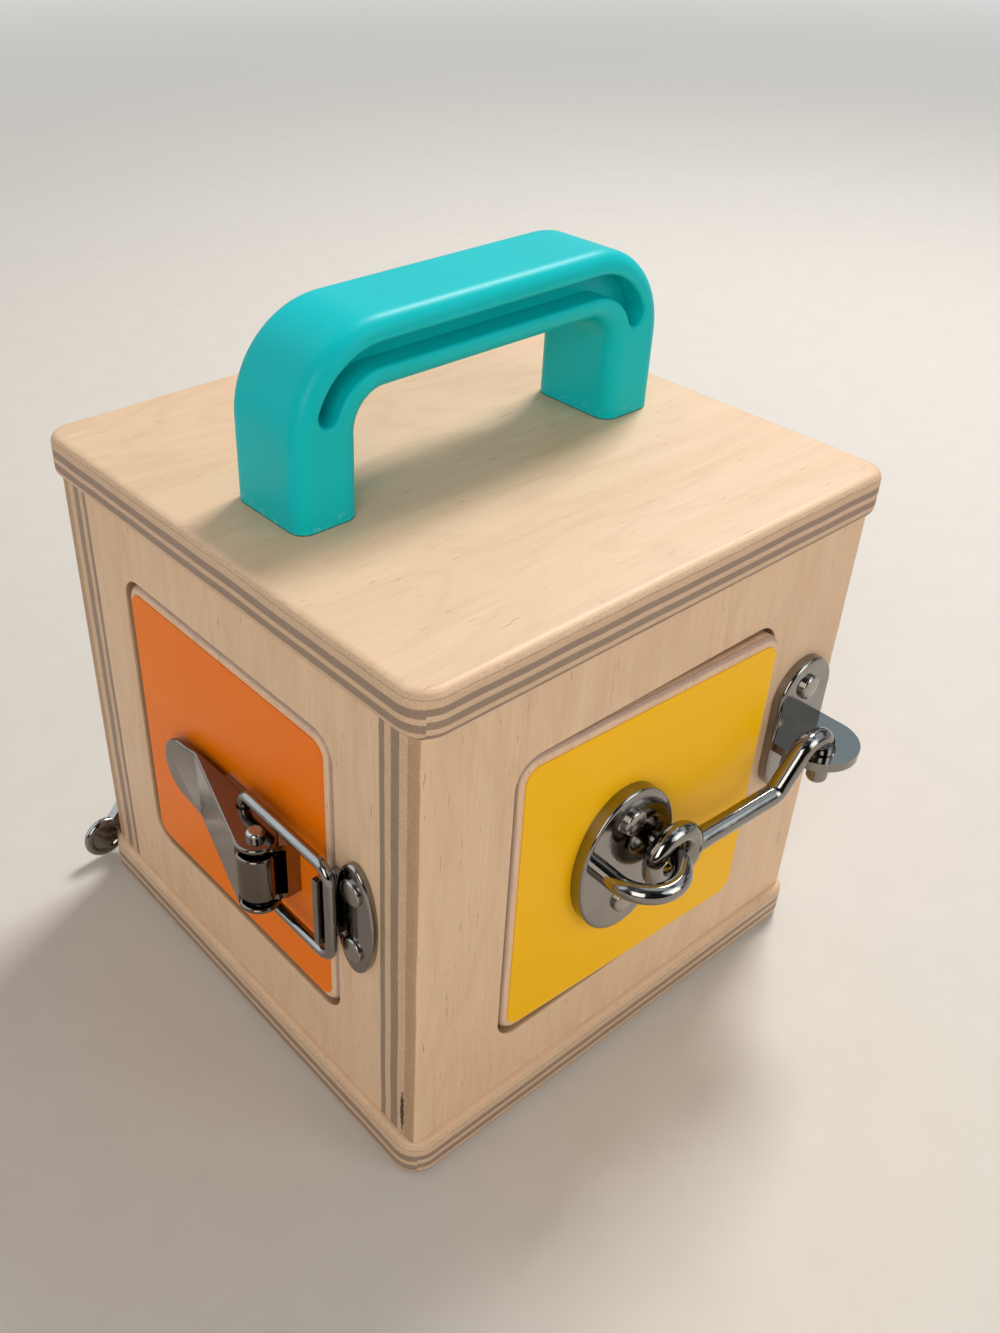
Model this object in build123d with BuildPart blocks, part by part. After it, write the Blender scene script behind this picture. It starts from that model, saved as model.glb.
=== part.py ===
from build123d import *
import os
from dataclasses import dataclass
from math import asin, atan2, cos, degrees, hypot, radians, sin

# Wooden latch box: a plywood cube with a carrying handle and four small doors.
# Each door swings on two hidden pins and has a latch of its own kind.
# Millimetres, +Z up, the floor is z = 0, the yellow door faces -Y.

# Carcass: four plywood walls between two plywood panels
wall_span = 145.0
wall_thickness = 13.0
wall_height = 126.8
wall_corner_radius = 1.6
panel_thickness = 11.6
panel_overhang = 2.5
panel_corner_radius = 7.0
panel_edge_radius = 2.4
dowel_radius = 3.0
dowel_in_wall = 12.0
dowel_in_panel = 7.5
dowel_spacing = 48.0

# Openings: the centre along its wall as seen from outside, and above the panel
opening_width = 88.0
opening_corner_radius = 7.0
front_opening_tall = 89.2
front_opening_shift = -2.0
front_opening_rise = 62.4
left_opening_tall = 87.8
left_opening_shift = -0.2
left_opening_rise = 65.3
plain_opening_tall = 88.4
plain_opening_shift = 0.0
plain_opening_rise = 63.8

# Doors, hung on steel pins near the left edge as seen from outside
door_gap = 1.1
door_edge_radius = 2.3
door_back_easing = 0.8
facing_border = 2.4
facing_corner_radius = 4.0
facing_thickness = 0.3
pivot_inset = 6.1
pivot_depth = 4.4
pivot_pin_radius = 1.5
pivot_pin_in_wall = 10.0
pivot_pin_in_door = 12.0
pivot_pin_end_gap = 0.5
front_ajar = 2.3

# Door stops, glued inside each wall behind the door's free edge
stop_corner_gap = 6.2
stop_length = 44.0
stop_thickness = 6.0
stop_lap = 4.0
stop_gap = 0.2

# Fits
tight_fit = 0.01
running_fit = 0.06
sliding_gap = 0.3
cut_overrun = 2.0

# Carrying handle and its two screws
handle_length = 114.0
handle_width = 26.2
handle_leg = 17.2
handle_clearance = 28.2
handle_grip = 16.3
handle_outer_radius = 24.0
handle_inner_radius = 8.0
handle_edge_radius = 4.0
groove_width = 5.5
groove_depth = 7.0
groove_end_turn = 22.0
groove_rim_radius = 1.1
handle_screw_radius = 2.0
handle_screw_hole_gap = 0.3
handle_screw_in_leg = 13.0
screw_head_radius = 3.6
screw_head_thickness = 2.2

# Rivets that hold the metal fittings
rivet_head_radius = 3.4
rivet_head_rim = 0.8
rivet_head_height = 1.5
rivet_shank_radius = 1.6
rivet_in_wood = 7.0

# Hook and eye: the eye's plate and staple on the front door
eye_plate_width = 31.0
eye_plate_tall = 43.0
eye_plate_thickness = 3.4
eye_plate_edge_radius = 0.7
eye_plate_inset = 52.0
eye_plate_drop = 0.5
eye_rivet_spacing = 25.4
staple_wire_radius = 2.5
staple_span = 18.1
staple_shift = 0.75
staple_rise = 1.1
staple_reach = 17.3

# Hook and eye: the hook, hung on the staple's right leg
hook_standoff = 9.1
hook_sag = 0.6
hook_ring_radius = 6.9
hook_ring_wire_radius = 2.6
hook_rod_radius = 2.75
hook_bend_radius = 4.4
hook_crank_foot = 17.4
hook_crank_head = 8.6
hook_arch = 6.0
hook_tip_below = 7.0
hook_tip_radius = 1.4

# Hook and eye: the bracket on the front wall that takes the hook
bracket_width = 21.0
bracket_tall = 41.0
bracket_thickness = 2.8
bracket_edge_radius = 0.9
bracket_outset = 15.5
bracket_rise = 5.9
bracket_rivet_spacing = 25.0
tab_above_level = 4.9
tab_thickness = 2.5
tab_straight = 9.5
tab_hole_offset = 3.2
tab_hole_play = 0.2

# Toggle latch on the left door: riveted base with two ears
toggle_drop = 1.9
toggle_pin_inset = 19.1
toggle_pin_standoff = 8.9
toggle_pin_radius = 1.5
toggle_pin_head_radius = 2.3
toggle_pin_head_height = 1.9
base_plate_thickness = 1.6
base_plate_back = 24.5
base_plate_front = 5.3
base_web_height = 3.9
ear_thickness = 1.6
ear_radius = 3.1
ear_root = 6.6
base_rivet_radius = 2.4
base_rivet_height = 1.1
base_rivet_near = 9.8
base_rivet_far = 20.0

# Toggle latch: the lever, a pressed channel that turns on the pin
lever_sheet = 1.5
lever_tall = 20.8
lever_barrel_radius = 5.3
lever_ramp_length = 34.1
lever_foot_standoff = 4.0
lever_flange_foot = 1.6
lever_flange_heel = 10.7
lever_flange_standoff = 2.0
lever_curl_turn = 125.0
thumb_length = 16.6
thumb_width = 18.4

# Toggle latch: the wire bail, hooked into the lever
bail_wire_radius = 1.45
bail_width = 28.5
bail_bend_radius = 2.7
bail_eye_from_pin = 10.7
bail_standoff = 5.0
bail_slack = 0.65

# Toggle latch: the strike on the left wall
strike_width = 14.0
strike_tall = 33.5
strike_thickness = 2.0
strike_edge_radius = 0.8
strike_outset_share = 0.535
strike_rivet_spacing = 18.0
lip_setback = 0.2
lip_thickness = 1.8
lip_tall = 20.5
lip_reach = 7.0
lip_corner_radius = 3.0

# Slide bolt on the right door and its keeper on the right wall
bolt_radius = 3.0
bolt_length = 48.0
bolt_standoff = 6.6
bolt_end_radius = 1.2
bolt_setback = 1.6
bolt_travel = 13.0
bolt_plate_width = 38.0
bolt_plate_tall = 25.0
bolt_plate_thickness = 1.8
bolt_plate_corner_radius = 6.0
bolt_plate_inset = 22.6
guide_length = 5.0
guide_wall = 2.4
guide_spacing = 25.0
bolt_rivet_span = 27.0
bolt_rivet_rise = 17.0
knob_stem_radius = 1.9
knob_stem_height = 6.5
knob_radius = 4.4
knob_thickness = 3.6
knob_edge_radius = 1.2
keeper_width = 11.0
keeper_outset_share = 0.542
keeper_play = 0.35

# Swing catch at the foot of the back wall
catch_outset = 10.3
catch_drop = 6.2
catch_spacer_radius = 6.0
catch_spacer_thickness = 3.2
catch_gap = 0.2
catch_arm_length = 27.0
catch_arm_thickness = 3.0
catch_boss_radius = 6.6
catch_neck_radius = 2.2
catch_rest_turn = 38.0
catch_head_radius = 4.2
catch_head_height = 2.0
catch_rim_radius = 5.6
catch_rim_wire_radius = 1.4
catch_dish_thickness = 1.2
catch_plate_radius = 8.0
catch_plate_thickness = 2.5
catch_plate_edge_radius = 0.7
catch_plate_turn = 135.0

box_height = wall_height + 2 * panel_thickness


@dataclass
class Side:
    """One wall as seen from outside: x runs to the right, y up, z out of the wall."""

    face: Plane
    shift: float
    rise: float
    tall: float
    ajar: float = 0

    @property
    def centre(self):
        return panel_thickness + self.rise

    @property
    def hinged_edge(self):
        return self.shift - opening_width / 2

    @property
    def free_edge(self):
        return self.shift + opening_width / 2

    @property
    def bottom(self):
        return self.centre - self.tall / 2

    @property
    def top(self):
        return self.centre + self.tall / 2

    @property
    def pivot(self):
        return self.hinged_edge + door_gap + pivot_inset

    @property
    def door_face(self):
        """The wall's face plane, carried round with the door by its ajar angle."""
        x_dir = self.face.x_dir.rotate(Axis.Z, -self.ajar)
        z_dir = self.face.z_dir.rotate(Axis.Z, -self.ajar)
        pin = self.face.from_local_coords(Vector(self.pivot, 0, -pivot_depth))
        at_pin = Plane(origin=pin, x_dir=x_dir, z_dir=z_dir)
        origin = at_pin.from_local_coords(Vector(-self.pivot, 0, pivot_depth))
        return Plane(origin=origin, x_dir=x_dir, z_dir=z_dir)


half_span = wall_span / 2
front = Side(
    Plane(origin=(0, -half_span, 0), x_dir=(1, 0, 0), z_dir=(0, -1, 0)),
    front_opening_shift, front_opening_rise, front_opening_tall, front_ajar,
)
left = Side(
    Plane(origin=(-half_span, 0, 0), x_dir=(0, -1, 0), z_dir=(-1, 0, 0)),
    left_opening_shift, left_opening_rise, left_opening_tall,
)
back = Side(
    Plane(origin=(0, half_span, 0), x_dir=(-1, 0, 0), z_dir=(0, 1, 0)),
    plain_opening_shift, plain_opening_rise, plain_opening_tall,
)
right = Side(
    Plane(origin=(half_span, 0, 0), x_dir=(0, 1, 0), z_dir=(1, 0, 0)),
    plain_opening_shift, plain_opening_rise, plain_opening_tall,
)


def level_plane(face, x, y, z=0):
    """A horizontal plane at a point given on a wall's face: x along the wall, y out of it."""
    origin = face.from_local_coords(Vector(x, y, z))
    return Plane(origin=origin, x_dir=face.x_dir, z_dir=-face.y_dir)


def rising_plane(face, x, y, z=0):
    """A horizontal plane at a point given on a wall's face, looking up."""
    origin = face.from_local_coords(Vector(x, y, z))
    return Plane(origin=origin, x_dir=face.x_dir, z_dir=face.y_dir)


def outward_axis(face, x, y):
    """The line square to a wall's face through a point on it."""
    return Axis(face.from_local_coords(Vector(x, y, 0)), face.z_dir)


def drill(face, places, radius, depth):
    """Round holes into the part being built, from a plane inwards."""
    with BuildSketch(face.offset(cut_overrun)) as holes:
        with Locations(*places):
            Circle(radius)
    extrude(holes.sketch, amount=-cut_overrun - depth, mode=Mode.SUBTRACT)


def rivets(face, places, seat, head_radius, head_height, depth):
    """Domed rivets: heads on the fitting, shanks through it into the wood."""
    with BuildPart() as made:
        for x, y in places:
            with BuildSketch(level_plane(face, x, y, seat)):
                with BuildLine():
                    Polyline(
                        (0, head_height), (0, -depth), (rivet_shank_radius, -depth),
                        (rivet_shank_radius, 0), (head_radius, 0), (head_radius, rivet_head_rim),
                    )
                    TangentArc((0, head_height), (head_radius, rivet_head_rim), tangent=(1, 0))
                make_face()
            revolve(axis=outward_axis(face, x, y))
    return made


def upright_pair(x, y, spacing):
    return [(x, y - spacing / 2), (x, y + spacing / 2)]


# Carcass
dowel_places = [-dowel_spacing / 2, dowel_spacing / 2]
wall_ends = [(panel_thickness, 1), (panel_thickness + wall_height, -1)]


def panel(base):
    """A square plywood panel with round corners, its upper and lower edges rounded over."""
    size = wall_span + 2 * panel_overhang
    with BuildPart() as made:
        with BuildSketch(Plane.XY.offset(base)):
            RectangleRounded(size, size, panel_corner_radius)
        extrude(amount=panel_thickness)
        rims = made.faces().filter_by(Axis.Z).edges()
        fillet(rims, radius=panel_edge_radius)
    return made


def dowel_holes(side, end, way, depth):
    """Two dowel holes in a wall's end or in the panel it meets."""
    for x in dowel_places:
        with BuildSketch(rising_plane(side.face, x, end, -wall_thickness / 2)) as hole:
            Circle(dowel_radius + tight_fit)
        extrude(hole.sketch, amount=way * depth, mode=Mode.SUBTRACT)


def wall(side, length):
    """A plywood wall with its round-cornered opening, its pin holes and dowel holes."""
    with BuildPart() as made:
        with BuildSketch(side.face):
            with Locations((0, panel_thickness + wall_height / 2)):
                Rectangle(length, wall_height)
        extrude(amount=-wall_thickness)
        if length == wall_span:
            outer = made.faces().sort_by(Axis(side.face.origin, side.face.z_dir))[-1]
            fillet(outer.edges().filter_by(Axis.Z), radius=wall_corner_radius)
        with BuildSketch(side.face):
            with Locations((side.shift, side.centre)):
                RectangleRounded(opening_width, side.tall, opening_corner_radius)
        extrude(amount=-wall_thickness, mode=Mode.SUBTRACT)
        for edge, way in ((side.bottom, -1), (side.top, 1)):
            start = edge - way * cut_overrun
            with BuildSketch(rising_plane(side.face, side.pivot, start, -pivot_depth)):
                Circle(pivot_pin_radius + tight_fit)
            extrude(amount=way * (pivot_pin_in_wall + cut_overrun), mode=Mode.SUBTRACT)
        for end, way in wall_ends:
            dowel_holes(side, end, way, dowel_in_wall)
    return made


def rivet_holes(made, face, places):
    """Blind holes for rivet shanks in a finished wall or door."""
    with made:
        drill(face, places, rivet_shank_radius + tight_fit, rivet_in_wood)


inner_length = wall_span - 2 * wall_thickness
sides = {"front": front, "left": left, "back": back, "right": right}
bottom_panel = panel(0)
top_panel = panel(panel_thickness + wall_height)
for made, end, way in ((bottom_panel, panel_thickness, -1), (top_panel, wall_ends[1][0], 1)):
    with made:
        for side in sides.values():
            dowel_holes(side, end, way, dowel_in_panel)

front_wall = wall(front, wall_span)
back_wall = wall(back, wall_span)
left_wall = wall(left, inner_length)
right_wall = wall(right, inner_length)

with BuildPart() as panel_dowels:
    for side in sides.values():
        for end, way in wall_ends:
            for x in dowel_places:
                start = end - way * dowel_in_panel
                with BuildSketch(rising_plane(side.face, x, start, -wall_thickness / 2)):
                    Circle(dowel_radius)
                extrude(amount=way * (dowel_in_panel + dowel_in_wall))


# Handle: a round-cornered bow with a groove along the middle of each side
handle_foot = box_height
grip_underside = handle_foot + handle_clearance
handle_top = grip_underside + handle_grip
leg_centre = handle_length / 2 - handle_leg / 2
bow_centre_x = handle_length / 2 - handle_outer_radius
bow_centre_z = handle_top - handle_outer_radius
groove_radius = handle_outer_radius - handle_grip / 2
bow_plane = Plane.XZ.offset(-handle_width / 2)

with BuildPart() as handle:
    with BuildSketch(bow_plane):
        with BuildLine():
            FilletPolyline(
                (-handle_length / 2, handle_foot), (-handle_length / 2, handle_top),
                (handle_length / 2, handle_top), (handle_length / 2, handle_foot),
                radius=handle_outer_radius,
            )
            inner = handle_length / 2 - handle_leg
            Line((handle_length / 2, handle_foot), (inner, handle_foot))
            FilletPolyline(
                (inner, handle_foot), (inner, grip_underside),
                (-inner, grip_underside), (-inner, handle_foot),
                radius=handle_inner_radius,
            )
            Line((-inner, handle_foot), (-handle_length / 2, handle_foot))
        make_face()
    extrude(amount=handle_width)
    long_edges = handle.faces().filter_by(Axis.Y).edges()
    foot_edges = handle.faces().sort_by(Axis.Z)[:2].edges()
    fillet(long_edges - foot_edges, radius=handle_edge_radius)
    for cheek, way in ((Plane.XZ.offset(handle_width / 2), -1), (bow_plane, 1)):
        with BuildSketch(cheek):
            with BuildLine(mode=Mode.PRIVATE) as right_bend:
                CenterArc((bow_centre_x, bow_centre_z), groove_radius, groove_end_turn,
                          90 - groove_end_turn)
            with BuildLine(mode=Mode.PRIVATE) as left_bend:
                CenterArc((-bow_centre_x, bow_centre_z), groove_radius, 90, 90 - groove_end_turn)
            SlotArc(right_bend.edges()[0], groove_width)
            SlotArc(left_bend.edges()[0], groove_width)
            with Locations((0, bow_centre_z + groove_radius)):
                Rectangle(2 * bow_centre_x, groove_width)
        extrude(amount=way * groove_depth, mode=Mode.SUBTRACT)
    cheeks = handle.faces().filter_by(Axis.Y).group_by(Axis.Y)
    rims = [wire for face in cheeks[0] + cheeks[-1] for wire in face.inner_wires()]
    fillet([edge for rim in rims for edge in rim.edges()], radius=groove_rim_radius)
    for x in (-leg_centre, leg_centre):
        with BuildSketch(Plane(origin=(x, 0, handle_foot))):
            Circle(handle_screw_radius + tight_fit)
        extrude(amount=handle_screw_in_leg, mode=Mode.SUBTRACT)

with top_panel:
    for x in (-leg_centre, leg_centre):
        with BuildSketch(Plane(origin=(x, 0, handle_foot))) as hole:
            Circle(handle_screw_radius + handle_screw_hole_gap)
        extrude(hole.sketch, amount=-panel_thickness, mode=Mode.SUBTRACT)

with BuildPart() as handle_screws:
    for x in (-leg_centre, leg_centre):
        with BuildSketch(Plane(origin=(x, 0, handle_foot - panel_thickness))):
            Circle(handle_screw_radius)
        extrude(amount=panel_thickness + handle_screw_in_leg)
        with BuildSketch(Plane(origin=(x, 0, handle_foot - panel_thickness))):
            Circle(screw_head_radius)
        extrude(amount=-screw_head_thickness)


# Doors: the same build on each side
def door(side):
    """A plywood door that fits its opening, drilled from both ends for its pins."""
    width = opening_width - 2 * door_gap
    tall = side.tall - 2 * door_gap
    face = side.door_face
    with BuildPart() as made:
        with BuildSketch(face):
            with Locations((side.shift, side.centre)):
                RectangleRounded(width, tall, opening_corner_radius - door_gap)
        extrude(amount=-wall_thickness)
        along = Axis(face.origin, face.z_dir)
        fillet(made.faces().sort_by(along)[-1].edges(), radius=door_edge_radius)
        fillet(made.faces().sort_by(along)[0].edges(), radius=door_back_easing)
        ends = (
            (side.bottom + door_gap, 1, pivot_pin_in_door),
            (side.top - door_gap, -1, pivot_pin_in_door + pivot_pin_end_gap),
        )
        for end, way, depth in ends:
            with BuildSketch(rising_plane(face, side.pivot, end, -pivot_depth)):
                Circle(pivot_pin_radius + running_fit)
            extrude(amount=way * depth, mode=Mode.SUBTRACT)
    return made


def facing(side):
    """The thin coloured sheet on a door's face, inside its bare wooden border."""
    width = opening_width - 2 * door_gap - 2 * facing_border
    tall = side.tall - 2 * door_gap - 2 * facing_border
    with BuildPart() as made:
        with BuildSketch(side.door_face):
            with Locations((side.shift, side.centre)):
                RectangleRounded(width, tall, facing_corner_radius)
        extrude(amount=facing_thickness)
    return made


def door_pins(side):
    """The two steel pins that a door swings on, fast in the wall above and below."""
    length = pivot_pin_in_wall + door_gap + pivot_pin_in_door
    with BuildPart() as made:
        for edge, way in ((side.bottom, 1), (side.top, -1)):
            start = edge - way * pivot_pin_in_wall
            with BuildSketch(rising_plane(side.face, side.pivot, start, -pivot_depth)):
                Circle(pivot_pin_radius)
            extrude(amount=way * length)
    return made


def door_stop(side):
    """A wooden strip inside the wall that the door's free edge closes against."""
    near = side.free_edge - door_gap - stop_lap
    far = half_span - wall_thickness - stop_corner_gap
    foot = side.free_edge + sliding_gap
    with BuildPart() as made:
        with BuildSketch(side.face.offset(-wall_thickness - stop_gap)):
            with Locations(((near + far) / 2, side.centre)):
                Rectangle(far - near, stop_length)
        extrude(amount=-stop_thickness)
        with BuildSketch(side.face.offset(-wall_thickness)):
            with Locations(((foot + far) / 2, side.centre)):
                Rectangle(far - foot, stop_length)
        extrude(amount=-stop_gap)
    return made


doors = {name: door(side) for name, side in sides.items()}
facings = {name: facing(side) for name, side in sides.items()}
pins = {name: door_pins(side) for name, side in sides.items()}
stops = {name: door_stop(side) for name, side in sides.items()}
skin = facing_thickness


# Hook and eye on the front door
eye_x = front.free_edge - eye_plate_inset
eye_y = front.centre - eye_plate_drop
hook_level = eye_y + staple_rise
staple_middle = eye_x + staple_shift
staple_right = staple_middle + staple_span / 2
staple_left = staple_middle - staple_span / 2
eye_rivet_places = upright_pair(eye_x, eye_y, eye_rivet_spacing)
eye_front = skin + eye_plate_thickness

with BuildPart() as eye_plate:
    with BuildSketch(front.door_face.offset(skin)):
        with Locations((eye_x, eye_y)):
            Ellipse(eye_plate_width / 2, eye_plate_tall / 2)
    extrude(amount=eye_plate_thickness)
    outward = Axis(front.door_face.origin, front.door_face.z_dir)
    fillet(eye_plate.faces().sort_by(outward)[-1].edges(), radius=eye_plate_edge_radius)
    eye_top = front.door_face.offset(eye_front)
    drill(eye_top, eye_rivet_places, rivet_shank_radius + tight_fit, eye_plate_thickness)
    leg_places = [(staple_left, hook_level), (staple_right, hook_level)]
    drill(eye_top, leg_places, staple_wire_radius + tight_fit, eye_plate_thickness)

eye_plate_rivets = rivets(
    front.door_face, eye_rivet_places, eye_front, rivet_head_radius, rivet_head_height,
    eye_front + rivet_in_wood,
)
with facings["front"]:
    drill(eye_top, eye_rivet_places, rivet_shank_radius + tight_fit, eye_front)
rivet_holes(doors["front"], front.door_face, eye_rivet_places)

with BuildPart() as eye_staple:
    staple_plane = level_plane(front.door_face, staple_middle, hook_level)
    shoulder = staple_reach - staple_span / 2
    with BuildLine(staple_plane) as staple_line:
        Line((staple_span / 2, skin), (staple_span / 2, shoulder))
        CenterArc((0, shoulder), staple_span / 2, 0, 180)
        Line((-staple_span / 2, shoulder), (-staple_span / 2, skin))
    with BuildSketch(Plane(origin=staple_line.line @ 0, z_dir=staple_line.line % 0)):
        Circle(staple_wire_radius)
    sweep()


# The hook hangs level on the staple's right leg, in a plane along the door's face.
# The door stands ajar by the play that the hook has in the bracket's hole.
bracket_x = front.free_edge + bracket_outset
tip_x = bracket_x - tab_hole_offset
tab_top = hook_level + tab_above_level
lean = sin(radians(front_ajar))
upright = cos(radians(front_ajar))
pin_to_hook = pivot_depth + hook_standoff
closed_tip_x = front.pivot + (tip_x - front.pivot + pin_to_hook * lean) / upright
tip_z = (closed_tip_x - front.pivot) * lean + pin_to_hook * upright - pivot_depth
hole_x = (tip_x + closed_tip_x) / 2
hole_z = (tip_z + hook_standoff) / 2
tip_play = hypot(closed_tip_x - tip_x, tip_z - hook_standoff) / 2
tab_hole_radius = hook_rod_radius + tip_play + tab_hole_play
hook_plane = front.door_face.offset(hook_standoff)
rod_level = hook_level - hook_sag

with BuildPart() as hook:
    crank_top = tab_top + hook_arch
    with BuildLine(hook_plane) as rod_line:
        FilletPolyline(
            (staple_right + hook_ring_radius, rod_level), (closed_tip_x - hook_crank_foot, rod_level),
            (closed_tip_x - hook_crank_head, crank_top), (closed_tip_x, crank_top),
            (closed_tip_x, tab_top - tab_thickness - hook_tip_below),
            radius=hook_bend_radius,
        )
    with BuildSketch(Plane(origin=rod_line.line @ 0, z_dir=rod_line.line % 0)):
        Circle(hook_rod_radius)
    sweep()
    fillet(hook.faces().sort_by(Axis.Z)[0].edges(), radius=hook_tip_radius)
    with BuildSketch(level_plane(hook_plane, staple_right, rod_level)):
        with Locations((hook_ring_radius, 0)):
            Circle(hook_ring_wire_radius)
    revolve(axis=outward_axis(hook_plane, staple_right, rod_level))

bracket_y = hook_level + bracket_rise
bracket_rivet_places = upright_pair(bracket_x, bracket_y, bracket_rivet_spacing)
with BuildPart() as hook_bracket:
    with BuildSketch(front.face):
        with Locations((bracket_x, bracket_y)):
            SlotOverall(bracket_tall, bracket_width, rotation=90)
    extrude(amount=bracket_thickness)
    outward = Axis(front.face.origin, front.face.z_dir)
    fillet(hook_bracket.faces().sort_by(outward)[-1].edges(), radius=bracket_edge_radius)
    with BuildSketch(rising_plane(front.face, bracket_x, tab_top - tab_thickness)):
        with BuildLine():
            Polyline(
                (bracket_width / 2, -tab_straight), (bracket_width / 2, 0),
                (-bracket_width / 2, 0), (-bracket_width / 2, -tab_straight),
            )
            CenterArc((0, -tab_straight), bracket_width / 2, 180, 180)
        make_face()
    extrude(amount=tab_thickness)
    with BuildSketch(rising_plane(front.face, hole_x, tab_top - tab_thickness, hole_z)):
        Circle(tab_hole_radius)
    extrude(amount=tab_thickness, mode=Mode.SUBTRACT)
    drill(front.face.offset(bracket_thickness), bracket_rivet_places,
          rivet_shank_radius + tight_fit, bracket_thickness)

hook_bracket_rivets = rivets(
    front.face, bracket_rivet_places, bracket_thickness, rivet_head_radius, rivet_head_height,
    bracket_thickness + rivet_in_wood,
)
rivet_holes(front_wall, front.face, bracket_rivet_places)


# Toggle latch on the left door, all in the door's own face plane
pin_x = left.free_edge - toggle_pin_inset
toggle_y = left.centre - toggle_drop
plan = level_plane(left.face, pin_x, toggle_y, toggle_pin_standoff)
base_floor = skin - toggle_pin_standoff
base_top = base_floor + base_plate_thickness
flange_gap = lever_tall / 2 - lever_sheet
ear_outside = flange_gap - sliding_gap
curl_half = ear_outside - ear_thickness - sliding_gap
base_rivet_places = [
    (pin_x - base_rivet_far, toggle_y), (pin_x - base_rivet_near, toggle_y),
]


with BuildPart() as toggle_base:
    with BuildSketch(plan.offset(-ear_outside)):
        with BuildLine():
            Polyline(
                (-base_plate_back, base_floor), (base_plate_front, base_floor),
                (base_plate_front, base_top), (-base_plate_back, base_top), close=True,
            )
        make_face()
    extrude(amount=2 * ear_outside)
    for low in (-ear_outside, ear_outside - ear_thickness):
        with BuildSketch(plan.offset(low)):
            Circle(ear_radius)
            with BuildLine():
                Polyline(
                    (-ear_radius, 0), (-ear_root, base_floor), (base_plate_front, base_floor),
                    (base_plate_front, base_floor + base_web_height), (ear_radius, 0), close=True,
                )
            make_face()
            Circle(toggle_pin_radius + tight_fit, mode=Mode.SUBTRACT)
        extrude(amount=ear_thickness)
    with BuildSketch(plan.offset(-ear_outside)):
        with BuildLine():
            Polyline(
                (base_plate_front - ear_thickness, base_floor), (base_plate_front, base_floor),
                (base_plate_front, base_floor + base_web_height),
                (base_plate_front - ear_thickness, base_floor + base_web_height), close=True,
            )
        make_face()
    extrude(amount=2 * ear_outside)
    drill(left.face.offset(skin + base_plate_thickness), base_rivet_places,
          rivet_shank_radius + tight_fit, base_plate_thickness)

toggle_base_rivets = rivets(
    left.face, base_rivet_places, skin + base_plate_thickness, base_rivet_radius,
    base_rivet_height, skin + base_plate_thickness + rivet_in_wood,
)
with facings["left"]:
    drill(left.face.offset(skin), base_rivet_places, rivet_shank_radius + tight_fit, skin)
rivet_holes(doors["left"], left.face, base_rivet_places)

with BuildPart() as toggle_pin:
    with BuildSketch(plan.offset(-lever_tall / 2)):
        Circle(toggle_pin_radius)
    extrude(amount=lever_tall)
    for end, way in ((-lever_tall / 2, -1), (lever_tall / 2, 1)):
        with BuildSketch(plan.offset(end)):
            Circle(toggle_pin_head_radius)
        extrude(amount=way * toggle_pin_head_height)
        ends = toggle_pin.faces().sort_by(Axis(plan.origin, plan.z_dir))
        fillet(ends[-1 if way > 0 else 0].edges(), radius=toggle_pin_head_height / 2)

foot_x = -lever_ramp_length
foot_z = lever_foot_standoff - toggle_pin_standoff
ramp_turn = atan2(-foot_z, -foot_x) + asin(lever_barrel_radius / hypot(foot_x, foot_z))
touch_x = -lever_barrel_radius * sin(ramp_turn)
touch_z = lever_barrel_radius * cos(ramp_turn)
bail_eye = (-bail_eye_from_pin, bail_standoff - toggle_pin_standoff)
thumb_middle = -lever_ramp_length - thumb_length + thumb_width / 2

with BuildPart() as toggle_lever:
    for low in (-lever_tall / 2, lever_tall / 2 - lever_sheet):
        with BuildSketch(plan.offset(low)):
            Circle(lever_barrel_radius)
            with BuildLine():
                Polyline(
                    (foot_x, foot_z), (touch_x, touch_z), (0, 0), (0, -lever_barrel_radius),
                    (-lever_flange_heel, lever_flange_standoff - toggle_pin_standoff),
                    (foot_x, foot_z - lever_flange_foot), close=True,
                )
            make_face()
            Circle(toggle_pin_radius + running_fit, mode=Mode.SUBTRACT)
            with Locations(bail_eye):
                Circle(bail_wire_radius + running_fit, mode=Mode.SUBTRACT)
        extrude(amount=lever_sheet)
    with BuildSketch(plan.offset(-lever_tall / 2)):
        with BuildLine():
            Polyline(
                (foot_x, foot_z), (touch_x, touch_z),
                (touch_x + lever_sheet * sin(ramp_turn), touch_z - lever_sheet * cos(ramp_turn)),
                (foot_x, foot_z - lever_flange_foot), close=True,
            )
        make_face()
    extrude(amount=lever_tall)
    with BuildSketch(plan.offset(-curl_half)):
        with BuildLine():
            CenterArc((0, 0), lever_barrel_radius - lever_sheet / 2,
                      90 + degrees(ramp_turn) - lever_curl_turn, lever_curl_turn)
        trace(line_width=lever_sheet)
    extrude(amount=2 * curl_half)
    with BuildSketch(left.face.offset(lever_foot_standoff)):
        with Locations((pin_x + thumb_middle, toggle_y)):
            Circle(thumb_width / 2)
        with BuildLine():
            far = pin_x + thumb_middle
            near = pin_x - lever_ramp_length
            Line((near, toggle_y - lever_tall / 2), (near, toggle_y + lever_tall / 2))
            Spline(
                (near, toggle_y + lever_tall / 2), (far, toggle_y + thumb_width / 2),
                tangents=((-1, 0), (-1, 0)),
            )
            Line((far, toggle_y + thumb_width / 2), (far, toggle_y - thumb_width / 2))
            Spline(
                (far, toggle_y - thumb_width / 2), (near, toggle_y - lever_tall / 2),
                tangents=((1, 0), (1, 0)),
            )
        make_face()
    extrude(amount=-lever_flange_foot)

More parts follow.
